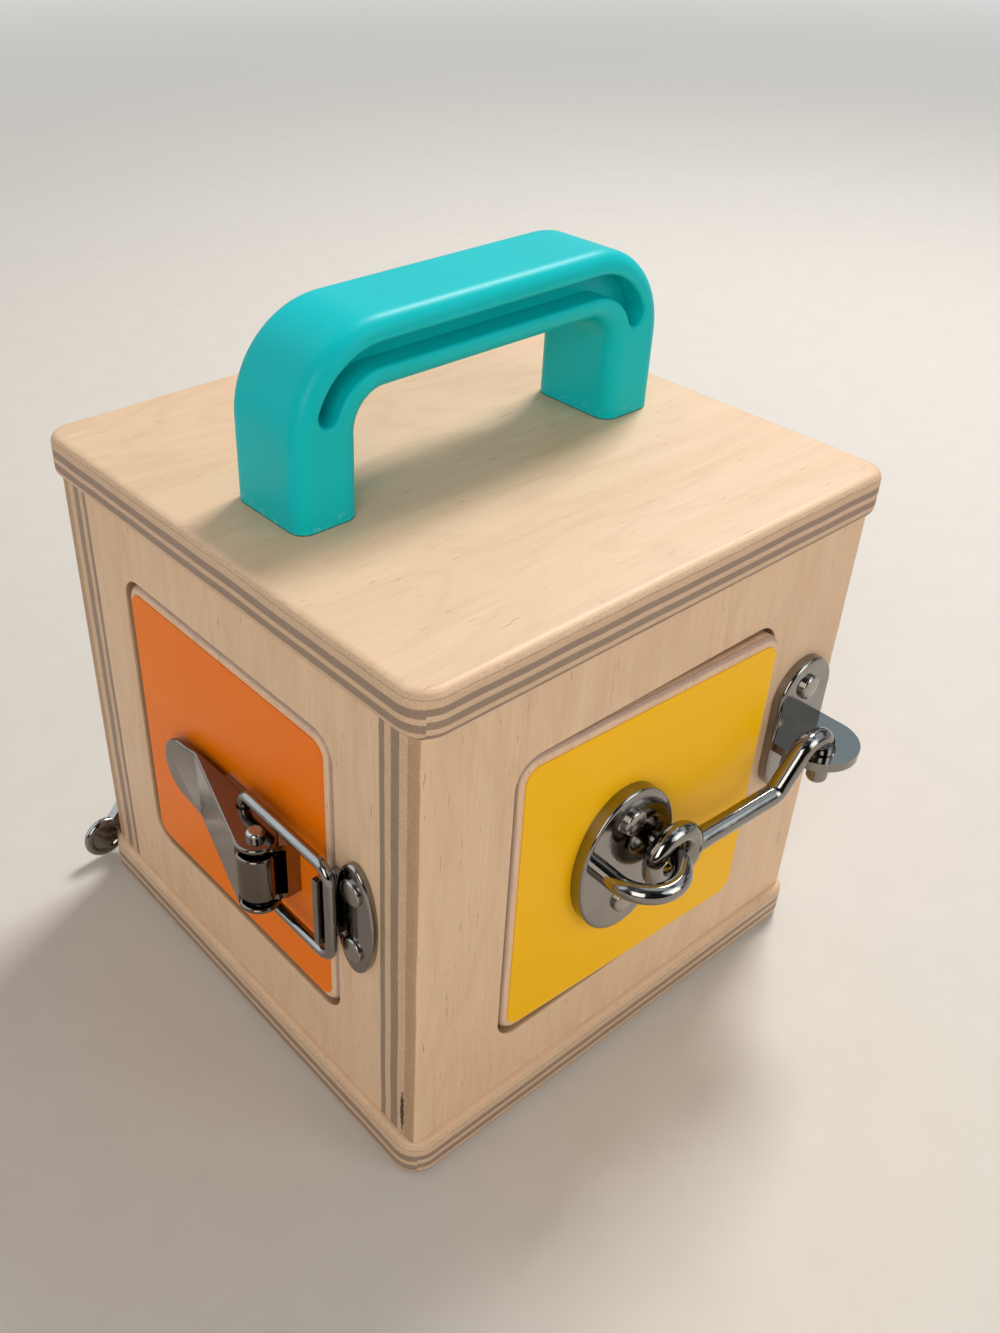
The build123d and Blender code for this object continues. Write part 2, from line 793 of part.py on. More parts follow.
# The strike's lip stands just outside the door's edge; the bail's bar drops behind it.
lip_x = left.free_edge + lip_setback
bar_x = lip_x + lip_thickness + bail_slack + bail_wire_radius
with BuildPart() as toggle_bail:
    start = flange_gap - sliding_gap
    with BuildLine(left.face.offset(bail_standoff)) as bail_line:
        FilletPolyline(
            (pin_x - bail_eye_from_pin, toggle_y + start),
            (pin_x - bail_eye_from_pin, toggle_y + bail_width / 2),
            (bar_x, toggle_y + bail_width / 2),
            (bar_x, toggle_y - bail_width / 2),
            (pin_x - bail_eye_from_pin, toggle_y - bail_width / 2),
            (pin_x - bail_eye_from_pin, toggle_y - start),
            radius=bail_bend_radius,
        )
    with BuildSketch(Plane(origin=bail_line.line @ 0, z_dir=bail_line.line % 0)):
        Circle(bail_wire_radius)
    sweep()

strike_x = left.free_edge + strike_outset_share * (inner_length / 2 - left.free_edge)
strike_rivet_places = upright_pair(strike_x, toggle_y, strike_rivet_spacing)
with BuildPart() as toggle_strike:
    with BuildSketch(left.face):
        with Locations((strike_x, toggle_y)):
            Ellipse(strike_width / 2, strike_tall / 2)
    extrude(amount=strike_thickness)
    outward = Axis(left.face.origin, left.face.z_dir)
    fillet(toggle_strike.faces().sort_by(outward)[-1].edges(), radius=strike_edge_radius)
    with BuildSketch(left.face):
        with Locations(((lip_x + strike_x) / 2, toggle_y)):
            Rectangle(strike_x - lip_x, lip_tall)
    extrude(amount=strike_thickness - strike_edge_radius / 2)
    lip_plane = Plane(
        origin=left.face.from_local_coords(Vector(lip_x, toggle_y, 0)),
        x_dir=left.face.z_dir, z_dir=left.face.x_dir,
    )
    with BuildSketch(lip_plane) as lip:
        with Locations((lip_reach / 2, 0)):
            Rectangle(lip_reach, lip_tall)
        fillet(lip.vertices().sort_by(outward)[-2:], radius=lip_corner_radius)
    extrude(amount=lip_thickness)
    drill(left.face.offset(strike_thickness), strike_rivet_places,
          rivet_shank_radius + tight_fit, strike_thickness)

toggle_strike_rivets = rivets(
    left.face, strike_rivet_places, strike_thickness, rivet_head_radius, rivet_head_height,
    strike_thickness + rivet_in_wood,
)
rivet_holes(left_wall, left.face, strike_rivet_places)


# Slide bolt on the right door, stored drawn back; it shoots into the keeper on the wall
bolt_y = right.centre
bolt_front = right.free_edge - bolt_setback
bolt_tail = bolt_front - bolt_length
bolt_plate_x = right.free_edge - bolt_plate_inset
knob_x = bolt_plate_x - bolt_travel / 2
saddle_radius = bolt_radius + guide_wall
guide_places = [bolt_plate_x - guide_spacing / 2, bolt_plate_x + guide_spacing / 2]
bolt_rivet_places = [
    (bolt_plate_x + across * bolt_rivet_span / 2, bolt_y + up * bolt_rivet_rise / 2)
    for across in (-1, 1) for up in (-1, 1)
]


def saddle(face, x, length, bore):
    """A strap over the bolt: round top, straight sides down to its plate, bored through."""
    start = Plane(
        origin=face.from_local_coords(Vector(x - length / 2, bolt_y, 0)),
        x_dir=face.z_dir, z_dir=face.x_dir,
    )
    with BuildSketch(start) as strap:
        with Locations((bolt_standoff / 2, 0)):
            Rectangle(bolt_standoff, 2 * saddle_radius)
        with Locations((bolt_standoff, 0)):
            Circle(saddle_radius)
            Circle(bore, mode=Mode.SUBTRACT)
    extrude(strap.sketch, amount=length)


bolt_seat = skin + bolt_plate_thickness
with BuildPart() as bolt_plate:
    with BuildSketch(right.face.offset(skin)):
        with Locations((bolt_plate_x, bolt_y)):
            RectangleRounded(bolt_plate_width, bolt_plate_tall, bolt_plate_corner_radius)
    extrude(amount=bolt_plate_thickness)
    for x in guide_places:
        saddle(right.face.offset(skin), x, guide_length, bolt_radius + running_fit)
    drill(right.face.offset(bolt_seat), bolt_rivet_places, rivet_shank_radius + tight_fit,
          bolt_plate_thickness)

bolt_plate_rivets = rivets(
    right.face, bolt_rivet_places, bolt_seat, base_rivet_radius, base_rivet_height,
    bolt_seat + rivet_in_wood,
)
with facings["right"]:
    drill(right.face.offset(skin), bolt_rivet_places, rivet_shank_radius + tight_fit, skin)
rivet_holes(doors["right"], right.face, bolt_rivet_places)

bolt_line = skin + bolt_standoff
with BuildPart() as slide_bolt:
    bolt_end = Plane(
        origin=right.face.from_local_coords(Vector(bolt_tail, bolt_y, bolt_line)),
        x_dir=right.face.z_dir, z_dir=right.face.x_dir,
    )
    with BuildSketch(bolt_end):
        Circle(bolt_radius)
    extrude(amount=bolt_length)
    along = Axis(bolt_end.origin, bolt_end.z_dir)
    fillet(slide_bolt.faces().filter_by(along).edges(), radius=bolt_end_radius)
    with BuildSketch(right.face.offset(bolt_line)):
        with Locations((knob_x, bolt_y)):
            Circle(knob_stem_radius)
    extrude(amount=bolt_radius + knob_stem_height)

with BuildPart() as bolt_knob:
    with BuildSketch(right.face.offset(bolt_line + bolt_radius + knob_stem_height)):
        with Locations((knob_x, bolt_y)):
            Circle(knob_radius)
    extrude(amount=knob_thickness)
    fillet(bolt_knob.edges().filter_by(GeomType.CIRCLE), radius=knob_edge_radius)

keeper_x = right.free_edge + keeper_outset_share * (inner_length / 2 - right.free_edge)
keeper_rivet_places = upright_pair(keeper_x, bolt_y, bolt_rivet_rise)
with BuildPart() as bolt_keeper:
    with BuildSketch(right.face):
        with Locations((keeper_x, bolt_y)):
            SlotOverall(bolt_plate_tall, keeper_width, rotation=90)
    extrude(amount=bolt_seat)
    saddle(right.face.offset(skin), keeper_x, guide_length, bolt_radius + keeper_play)
    drill(right.face.offset(bolt_seat), keeper_rivet_places, rivet_shank_radius + tight_fit,
          bolt_seat)

bolt_keeper_rivets = rivets(
    right.face, keeper_rivet_places, bolt_seat, base_rivet_radius, base_rivet_height,
    bolt_seat + rivet_in_wood,
)
rivet_holes(right_wall, right.face, keeper_rivet_places)


# Swing catch on the back wall, stored hanging clear of the door with its thumb end low
catch_x = back.free_edge + catch_outset
catch_y = back.bottom - catch_drop
catch_low = catch_spacer_thickness + catch_gap
catch_top = catch_low + catch_arm_thickness
catch_middle = catch_low + catch_arm_thickness / 2
arm = Plane(
    origin=back.face.from_local_coords(Vector(catch_x, catch_y, 0)),
    x_dir=back.face.x_dir.rotate(Axis(back.face.origin, back.face.z_dir), -catch_rest_turn),
    z_dir=back.face.z_dir,
)

with BuildPart() as catch_spacer:
    with BuildSketch(back.face):
        with Locations((catch_x, catch_y)):
            Circle(catch_spacer_radius)
            Circle(rivet_shank_radius + tight_fit, mode=Mode.SUBTRACT)
    extrude(amount=catch_spacer_thickness)

with BuildPart() as swing_catch:
    with BuildSketch(arm.offset(catch_low)):
        Circle(catch_boss_radius)
        with BuildLine():
            Polyline(
                (0, catch_boss_radius), (catch_arm_length, catch_neck_radius),
                (catch_arm_length, -catch_neck_radius), (0, -catch_boss_radius), close=True,
            )
        make_face()
        with Locations((catch_arm_length, 0)):
            Circle(catch_rim_radius, mode=Mode.SUBTRACT)
    extrude(amount=catch_arm_thickness)
    with BuildSketch(arm.offset(catch_middle - catch_dish_thickness / 2)):
        with Locations((catch_arm_length, 0)):
            Circle(catch_rim_radius)
    extrude(amount=catch_dish_thickness)
    with BuildSketch(level_plane(arm, catch_arm_length, 0, catch_middle)):
        with Locations((catch_rim_radius, 0)):
            Circle(catch_rim_wire_radius)
    revolve(axis=outward_axis(arm, catch_arm_length, 0))
    with BuildSketch(arm.offset(catch_low)):
        Circle(rivet_shank_radius + running_fit)
    extrude(amount=catch_arm_thickness, mode=Mode.SUBTRACT)

catch_rivet = rivets(
    back.face, [(catch_x, catch_y)], catch_top + catch_gap, catch_head_radius,
    catch_head_height, catch_top + catch_gap + rivet_in_wood,
)
rivet_holes(back_wall, back.face, [(catch_x, catch_y)])

# The worn plate on the door's corner that the catch swings over
plate_turn = radians(catch_plate_turn)
catch_plate_place = (
    catch_x + catch_arm_length * cos(plate_turn), catch_y + catch_arm_length * sin(plate_turn),
)
with BuildPart() as catch_plate:
    with BuildSketch(back.face.offset(skin)):
        with Locations(catch_plate_place):
            Circle(catch_plate_radius)
    extrude(amount=catch_plate_thickness)
    outward = Axis(back.face.origin, back.face.z_dir)
    fillet(catch_plate.faces().sort_by(outward)[-1].edges(), radius=catch_plate_edge_radius)
    drill(back.face.offset(skin + catch_plate_thickness), [catch_plate_place],
          rivet_shank_radius + tight_fit, catch_plate_thickness)

with BuildPart() as catch_plate_rivet:
    with BuildSketch(back.face.offset(skin + catch_plate_thickness)):
        with Locations(catch_plate_place):
            Circle(rivet_shank_radius)
    extrude(amount=-skin - catch_plate_thickness - rivet_in_wood)

with facings["back"]:
    drill(back.face.offset(skin), [catch_plate_place], rivet_shank_radius + tight_fit, skin)
rivet_holes(doors["back"], back.face, [catch_plate_place])


# Name each piece and write it out
pieces = {
    "top_panel": top_panel,
    "bottom_panel": bottom_panel,
    "front_wall": front_wall,
    "back_wall": back_wall,
    "left_wall": left_wall,
    "right_wall": right_wall,
    "panel_dowels": panel_dowels,
    "handle": handle,
    "handle_screws": handle_screws,
    "eye_plate": eye_plate,
    "eye_plate_rivets": eye_plate_rivets,
    "eye_staple": eye_staple,
    "hook": hook,
    "hook_bracket": hook_bracket,
    "hook_bracket_rivets": hook_bracket_rivets,
    "toggle_base": toggle_base,
    "toggle_base_rivets": toggle_base_rivets,
    "toggle_pin": toggle_pin,
    "toggle_lever": toggle_lever,
    "toggle_bail": toggle_bail,
    "toggle_strike": toggle_strike,
    "toggle_strike_rivets": toggle_strike_rivets,
    "bolt_plate": bolt_plate,
    "bolt_plate_rivets": bolt_plate_rivets,
    "slide_bolt": slide_bolt,
    "bolt_knob": bolt_knob,
    "bolt_keeper": bolt_keeper,
    "bolt_keeper_rivets": bolt_keeper_rivets,
    "catch_spacer": catch_spacer,
    "swing_catch": swing_catch,
    "catch_rivet": catch_rivet,
    "catch_plate": catch_plate,
    "catch_plate_rivet": catch_plate_rivet,
}
for name in sides:
    pieces[f"{name}_door"] = doors[name]
    pieces[f"{name}_door_facing"] = facings[name]
    pieces[f"{name}_door_pins"] = pins[name]
    pieces[f"{name}_door_stop"] = stops[name]

os.makedirs("parts", exist_ok=True)
for name, piece in pieces.items():
    piece.part.label = name
    export_step(piece.part, f"parts/{name}.step")
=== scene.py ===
import bpy
import bmesh
from math import cos, degrees, pi, radians, sin
from mathutils import Matrix, Vector


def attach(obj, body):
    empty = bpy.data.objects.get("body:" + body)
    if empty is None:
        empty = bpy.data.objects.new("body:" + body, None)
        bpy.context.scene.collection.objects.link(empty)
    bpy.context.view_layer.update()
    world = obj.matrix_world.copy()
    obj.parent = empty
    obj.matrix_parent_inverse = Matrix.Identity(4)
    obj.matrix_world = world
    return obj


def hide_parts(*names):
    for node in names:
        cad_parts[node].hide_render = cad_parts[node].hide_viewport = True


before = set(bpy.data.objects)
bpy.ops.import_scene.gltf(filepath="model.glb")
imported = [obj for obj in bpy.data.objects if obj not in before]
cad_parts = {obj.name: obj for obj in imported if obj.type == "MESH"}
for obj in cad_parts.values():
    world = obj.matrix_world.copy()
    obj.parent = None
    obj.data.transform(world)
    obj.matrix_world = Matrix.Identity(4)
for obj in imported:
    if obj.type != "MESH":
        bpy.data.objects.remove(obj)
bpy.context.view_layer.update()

# Carcass: four birch plywood walls glued and dowelled between a top and a bottom panel.
# The faces are pale lacquered veneer with the grain upright on the walls and along the handle on
# the panels; every cut edge shows the plies, light where they run long and dark at the end grain.
mm = 0.001
half_span = 72.5
wall_thickness = 13.0
panel_thickness = 11.6
box_top = 150.0


def colour(red, green, blue):
    """A colour from the 0 to 255 values seen on the real box."""
    def linear(value):
        value = value / 255
        return value / 12.92 if value <= 0.04045 else ((value + 0.055) / 1.055) ** 2.4
    return (linear(red), linear(green), linear(blue), 1.0)


class Finish:
    """One material: its shader and short ways to add the nodes that feed it."""

    def __init__(self, name):
        self.material = bpy.data.materials.new(name)
        self.material.use_nodes = True
        self.tree = self.material.node_tree
        self.shader = self.tree.nodes["Principled BSDF"]
        self.place = self.add("ShaderNodeTexCoord").outputs["Object"]

    def add(self, kind, inputs=(), **settings):
        made = self.tree.nodes.new(kind)
        for key, value in settings.items():
            setattr(made, key, value)
        for key, value in dict(inputs).items():
            self.feed(made, key, value)
        return made

    def feed(self, made, key, value):
        if isinstance(value, bpy.types.NodeSocket):
            self.tree.links.new(value, made.inputs[key])
        else:
            made.inputs[key].default_value = value

    def sum(self, operation, first, second=0.0, third=0.0):
        made = self.add("ShaderNodeMath", {0: first, 1: second, 2: third}, operation=operation)
        return made.outputs[0]

    def along(self, vector, way):
        made = self.add("ShaderNodeVectorMath", {0: vector, 1: way}, operation="DOT_PRODUCT")
        return made.outputs["Value"]

    def stretch(self, vector, scale, turn=(0, 0, 0), shift=(0, 0, 0)):
        made = self.add("ShaderNodeMapping", {
            "Vector": vector, "Scale": scale, "Rotation": turn, "Location": shift})
        return made.outputs[0]

    def noise(self, vector, scale, detail=3.0, rough=0.5, twist=0.0):
        made = self.add("ShaderNodeTexNoise", {
            "Vector": vector, "Scale": scale, "Detail": detail, "Roughness": rough,
            "Distortion": twist})
        return made.outputs[0]

    def steps(self, factor, stops):
        made = self.add("ShaderNodeValToRGB", {0: factor})
        while len(made.color_ramp.elements) < len(stops):
            made.color_ramp.elements.new(1.0)
        for element, (at, value) in zip(made.color_ramp.elements, stops):
            element.position = at
            element.color = value if isinstance(value, tuple) else (value, value, value, 1.0)
        return made.outputs[0]

    def mix(self, factor, first, second, blend="MIX"):
        made = self.add("ShaderNodeMix", data_type="RGBA", blend_type=blend)
        self.feed(made, 0, factor)
        self.feed(made, 6, first)
        self.feed(made, 7, second)
        return made.outputs[2]

    def relief(self, height, depth, over=None):
        made = self.add("ShaderNodeBump", {"Height": height, "Distance": depth, "Strength": 1.0})
        if over is not None:
            self.feed(made, "Normal", over)
        return made.outputs[0]

    def set(self, **inputs):
        for key, value in inputs.items():
            self.feed(self.shader, key.replace("_", " "), value)
        return self.material


veneer = colour(228, 195, 160)
veneer_warm = colour(220, 178, 138)
light_ply = colour(227, 194, 160)
dark_ply = colour(162, 138, 119)
brown_ply = colour(198, 162, 126)
wall_plies = (
    (0.0, veneer), (0.4, veneer), (0.6, brown_ply), (3.7, brown_ply), (3.9, light_ply),
    (6.3, light_ply), (6.5, dark_ply), (8.9, dark_ply), (9.1, light_ply), (10.9, light_ply),
    (11.1, dark_ply), (12.6, dark_ply), (12.8, veneer),
)
panel_plies = (
    (0.0, veneer), (1.45, veneer), (1.55, dark_ply), (1.7, light_ply), (3.3, light_ply),
    (3.5, dark_ply), (5.0, dark_ply), (5.2, light_ply), (6.4, light_ply), (6.6, dark_ply),
    (8.2, dark_ply), (8.4, light_ply), (9.5, light_ply), (9.7, dark_ply), (11.0, dark_ply),
    (11.2, veneer),
)
panel_end_plies = (
    (0.0, veneer), (1.45, veneer), (1.55, dark_ply), (1.7, light_ply), (3.5, light_ply),
    (3.7, dark_ply), (5.7, dark_ply), (5.9, light_ply), (7.1, light_ply), (7.3, dark_ply),
    (9.1, dark_ply), (9.3, light_ply), (10.6, light_ply), (10.75, dark_ply), (10.9, veneer),
)


def birch(name, plies, thickness, face_at, outward, grain, seed, void_shade=None, end_plies=None):
    """Lacquered birch plywood whose plies lie square to the outward direction.

    The plies are given as depth in millimetres and colour. A second list serves the edges that
    cut across the grain of the face. A void in the edge is a hollow drawn flat, painted dark as
    the shade inside it.
    """
    outward, grain = Vector(outward), Vector(grain)
    across = outward.cross(grain)
    wood = Finish(name)
    depth = wood.sum("SUBTRACT", face_at * mm, wood.along(wood.place, outward))
    shift = Vector((seed * 0.37, seed * 0.71, seed * 0.53))
    wander = wood.noise(wood.stretch(wood.place, (60, 60, 60), shift=shift), 1.0, 2.0)
    waver = 0.0007
    wavy = wood.sum("MULTIPLY_ADD", wander, waver, wood.sum("SUBTRACT", depth, waver / 2))
    share = wood.sum("DIVIDE", wavy, thickness * mm)
    layers = wood.steps(share, [(at / thickness, value) for at, value in plies])
    if end_plies:
        ends = wood.steps(share, [(at / thickness, value) for at, value in end_plies])
        way = wood.add("ShaderNodeTexCoord").outputs["Normal"]
        end_on = wood.sum("ABSOLUTE", wood.along(way, grain))
        layers = wood.mix(wood.sum("GREATER_THAN", end_on, 0.6), layers, ends)
    from_middle = wood.sum("ABSOLUTE", wood.sum("SUBTRACT", depth, thickness / 2 * mm))
    face_veneer = 0.55
    inside = wood.sum("LESS_THAN", from_middle, (thickness / 2 - face_veneer) * mm)
    long = [wood.along(wood.place, way) for way in (across, grain, outward)]
    lengthwise = wood.add("ShaderNodeCombineXYZ", dict(enumerate(long))).outputs[0]
    shifted = wood.add("ShaderNodeVectorMath", {0: lengthwise, 1: shift}).outputs[0]
    # fibres, streaks, a cloudy figure with its rings, and pores, all drawn out along the grain
    fine = wood.noise(wood.stretch(shifted, (1500, 45, 1500)), 1.0, 4.0, 0.65)
    streak = wood.noise(wood.stretch(shifted, (210, 7, 210)), 1.0, 4.0, 0.6)
    cloud = wood.noise(wood.stretch(shifted, (34, 9, 34)), 1.0, 3.0, 0.5, 0.6)
    pores = wood.noise(wood.stretch(shifted, (1900, 150, 1900)), 1.0, 2.0, 0.5)
    rings = wood.sum("PINGPONG", wood.sum("MULTIPLY", cloud, 7.0), 0.5)
    streaks_show, fibres_show, rings_show, pores_show = 0.11, 0.09, 0.09, 0.5
    tone = wood.mix(wood.steps(streak, [(0.36, 0.0), (0.66, 1.0)]), layers, veneer_warm, "MULTIPLY")
    tone = wood.mix(streaks_show, layers, tone)
    fibres = wood.sum("MULTIPLY", wood.steps(fine, [(0.35, 1.0), (0.62, 0.0)]), fibres_show)
    tone = wood.mix(fibres, tone, colour(150, 116, 84), "MULTIPLY")
    figure = wood.sum("MULTIPLY", wood.steps(rings, [(0.25, 0.0), (0.5, 1.0)]), rings_show)
    tone = wood.mix(figure, tone, colour(184, 142, 100), "MULTIPLY")
    specks = wood.sum("MULTIPLY", wood.steps(pores, [(0.69, 0.0), (0.74, 1.0)]), pores_show)
    tone = wood.mix(specks, tone, colour(120, 88, 60), "MULTIPLY")
    # the cut edges: open end grain and a slow change of tone
    end = wood.noise(wood.place, 2600.0, 3.0, 0.7)
    band = wood.noise(wood.stretch(wood.place, (240, 240, 240)), 1.0, 3.0, 0.6)
    edge_shows = 0.28
    pits = wood.sum("MULTIPLY", wood.steps(end, [(0.36, 1.0), (0.6, 0.0)]), edge_shows)
    rough_edge = wood.mix(pits, layers, colour(120, 98, 80), "MULTIPLY")
    rough_edge = wood.mix(wood.sum("MULTIPLY", band, edge_shows), rough_edge,
                          colour(190, 162, 134), "MULTIPLY")
    tone = wood.mix(inside, tone, rough_edge)
    # painted shade: a void in the edge drawn flat and darkened as the shade inside its hollow
    if void_shade:
        place, radii = void_shade
        near = wood.add("ShaderNodeVectorMath", {0: wood.place, 1: Vector(place) * mm},
                        operation="SUBTRACT").outputs[0]
        near = wood.stretch(near, [1 / (radius * mm) for radius in radii])
        far = wood.add("ShaderNodeVectorMath", {0: near}, operation="LENGTH").outputs["Value"]
        ragged = wood.sum("MULTIPLY_ADD", wood.noise(wood.place, 700.0), 0.9, far)
        tone = wood.mix(wood.steps(ragged, [(0.85, 1.0), (1.5, 0.0)]), tone, colour(58, 42, 32))
    grit = wood.relief(fine, 0.00006)
    grit = wood.relief(wood.sum("MULTIPLY", end, inside), 0.00012, grit)
    sheen = wood.steps(streak, [(0.3, 0.47), (0.7, 0.56)])
    return wood.set(Base_Color=tone, Roughness=sheen, Normal=grit, Coat_Weight=0.12,
                    Coat_Roughness=0.35, Specular_IOR_Level=0.4)


def finish_node(node, material):
    """The finish on a part that keeps its own shape."""
    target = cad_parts[node]
    target.data.materials.clear()
    target.data.materials.append(material)


# a void in the inner ply at the front left corner, painted dark as the shade in its hollow:
# its middle and its reach each way
corner_void_shade = ((-half_span, -half_span + 4.5, 20.5), (6.0, 1.35, 15.0))
side_ways = {"front": (0, -1, 0), "left": (-1, 0, 0), "back": (0, 1, 0), "right": (1, 0, 0)}
for seed, (side, outward) in enumerate(side_ways.items()):
    finish_node(f"{side}_wall", birch(
        f"{side}_wall_birch", wall_plies, wall_thickness, half_span, outward, (0, 0, 1), seed + 1,
        corner_void_shade if side == "front" else None))
finish_node("top_panel", birch(
    "top_panel_birch", panel_plies, panel_thickness, box_top, (0, 0, 1), (1, 0, 0), 6,
    end_plies=panel_end_plies))
finish_node("bottom_panel", birch(
    "bottom_panel_birch", panel_plies, panel_thickness, panel_thickness, (0, 0, 1), (1, 0, 0), 7,
    end_plies=panel_end_plies))


# Dowels and door stops: plain beech dowels glued between the walls and the panels, and a plywood
# strip glued inside each wall for the door's free edge to close against.
dowel_wood = Finish("dowel_beech")
dowel_grain = dowel_wood.noise(dowel_wood.stretch(dowel_wood.place, (900, 900, 60)), 1.0, 4.0)
finish_node("panel_dowels", dowel_wood.set(
    Base_Color=dowel_wood.mix(dowel_grain, colour(196, 150, 104), colour(224, 184, 136)),
    Roughness=0.6, Normal=dowel_wood.relief(dowel_grain, 0.0001)))
for seed, (side, outward) in enumerate(side_ways.items()):
    finish_node(f"{side}_door_stop", birch(
        f"{side}_stop_birch", wall_plies, wall_thickness, half_span - wall_thickness, outward,
        (0, 0, 1), seed + 8))


# Doors: plywood cut from the same sheet as the walls, the front edge rounded over all round, so
# a bare wooden border shows the first plies. The front door stands 2.3 degrees ajar on its pins.
door_thickness = wall_thickness
ajar = radians(2.3)
door_plies = (
    (0.0, veneer), (0.3, veneer), (0.4, colour(204, 176, 158)), (1.3, colour(200, 170, 150)),
    (1.4, colour(150, 112, 90)), (1.55, light_ply), (2.6, light_ply), (2.8, brown_ply),
    (5.0, brown_ply), (5.3, dark_ply), (7.4, dark_ply), (7.6, light_ply), (9.4, light_ply),
    (9.6, dark_ply), (11.8, dark_ply), (12.0, veneer),
)
pin_x, pin_inset = -38.8, 4.4
pin_at = Vector((pin_x, pin_inset - half_span, 0))
door_along = Vector((cos(ajar), -sin(ajar), 0))
door_out = Vector((-sin(ajar), -cos(ajar), 0))
door_ways = dict(side_ways, front=door_out)
door_fronts = {side: half_span for side in door_ways}
door_fronts["front"] = pin_at.dot(door_out) + pin_inset
for seed, (side, outward) in enumerate(door_ways.items()):
    finish_node(f"{side}_door", birch(
        f"{side}_door_birch", door_plies, door_thickness, door_fronts[side], outward, (0, 0, 1),
        seed + 12))


# Door pins and handle screws: bright drawn steel. Each door turns on two short pins let into
# the wall, and the screws come up through the top panel, all hidden when the box is closed.
def bright_steel(name):
    steel = Finish(name)
    drawn = steel.noise(steel.stretch(steel.place, (2200, 2200, 40)), 1.0, 4.0, 0.6)
    return steel.set(Base_Color=steel.mix(drawn, colour(150, 150, 152), colour(196, 196, 198)),
                     Metallic=1.0, Roughness=steel.steps(drawn, [(0.3, 0.22), (0.7, 0.4)]),
                     Normal=steel.relief(drawn, 0.00002))


pin_steel = bright_steel("pin_steel")
for node in [f"{side}_door_pins" for side in side_ways] + ["handle_screws"]:
    finish_node(node, pin_steel)


# Coloured facings: a thin smooth sheet stuck on each door inside the rounded border. It has a
# satin gloss with the faint ripple of the plywood under it.
def door_sheet(name, tone, deeper):
    sheet = Finish(name)
    ripple = sheet.noise(sheet.place, 110.0, 2.0, 0.5)
    patch = sheet.noise(sheet.place, 22.0, 2.0, 0.5)
    bump = sheet.relief(ripple, 0.00003)
    body = sheet.mix(sheet.steps(patch, [(0.3, 0.0), (0.75, 0.6)]), tone, deeper)
    return sheet.set(Base_Color=body, Roughness=sheet.steps(ripple, [(0.3, 0.28), (0.7, 0.34)]),
                     Normal=bump, Specular_IOR_Level=0.12)


finish_node("front_door_facing", door_sheet(
    "yellow_sheet", colour(251, 191, 10), colour(248, 185, 6)))
finish_node("left_door_facing", door_sheet(
    "orange_sheet", colour(246, 124, 0), colour(242, 116, 0)))
finish_node("back_door_facing", door_sheet(
    "green_sheet", colour(126, 176, 70), colour(116, 166, 62)))
finish_node("right_door_facing", door_sheet(
    "red_sheet", colour(206, 62, 48), colour(196, 54, 42)))


# Carrying handle: one moulded satin plastic bow with a deep groove along each side, its feet
# flat on the top panel and held by a screw through the panel into each leg.
plastic = Finish("teal_handle")
skin = plastic.noise(plastic.place, 3200.0, 2.0, 0.5)
flow = plastic.noise(plastic.stretch(plastic.place, (30, 60, 60)), 1.0, 2.0, 0.5)
foot = plastic.sum("SUBTRACT", plastic.along(plastic.place, (0, 0, 1)), box_top * mm)
scuff_height, contact_shade_height = 0.004, 0.0004
scuffed = plastic.steps(plastic.sum("DIVIDE", foot, scuff_height), [(0.2, 1.0), (1.0, 0.0)])
nicks = plastic.steps(plastic.noise(plastic.place, 620.0, 5.0, 0.7), [(0.56, 0.0), (0.64, 1.0)])
scuffed = plastic.sum("MULTIPLY", scuffed, nicks)
teal = plastic.mix(plastic.steps(flow, [(0.3, 0.0), (0.7, 1.0)]),
                   colour(0, 187, 190), colour(0, 193, 199))
# painted contact shade: the bottom 0.4 mm of each foot darkened where it sits on the top panel
contact_shade = plastic.steps(plastic.sum("DIVIDE", foot, contact_shade_height), [(0.6, 0.8), (1.0, 0.0)])
teal = plastic.mix(contact_shade, teal, colour(60, 66, 58))
teal = plastic.mix(plastic.sum("MULTIPLY", scuffed, 0.4), teal, colour(150, 216, 210))
finish_node("handle", plastic.set(
    Base_Color=teal, Roughness=plastic.steps(flow, [(0.3, 0.34), (0.7, 0.42)]),
    Normal=plastic.relief(skin, 0.00002), Specular_IOR_Level=0.16))


# Rivets: steel rivets driven through the fittings into the wood and plated the same dark nickel,
# a little more satin. Each has a low, nearly flat hammered head that stands on its plate.
def frame_of(origin, along, outward):
    """Takes a point along the wall, up it and out of it to its place on the box."""
    along, outward = Vector(along).normalized(), Vector(outward).normalized()
    turn = Matrix((along, Vector((0, 0, 1)), outward)).transposed().to_4x4()
    return Matrix.Translation(Vector(origin) * mm) @ turn @ Matrix.Scale(mm, 4)


front_face = frame_of((0, -half_span, 0), (1, 0, 0), (0, -1, 0))
left_face = frame_of((-half_span, 0, 0), (0, -1, 0), (-1, 0, 0))
right_face = frame_of((half_span, 0, 0), (0, 1, 0), (1, 0, 0))
door_origin = pin_at - door_along * pin_x + door_out * pin_inset
front_door_face = frame_of(door_origin, door_along, door_out)


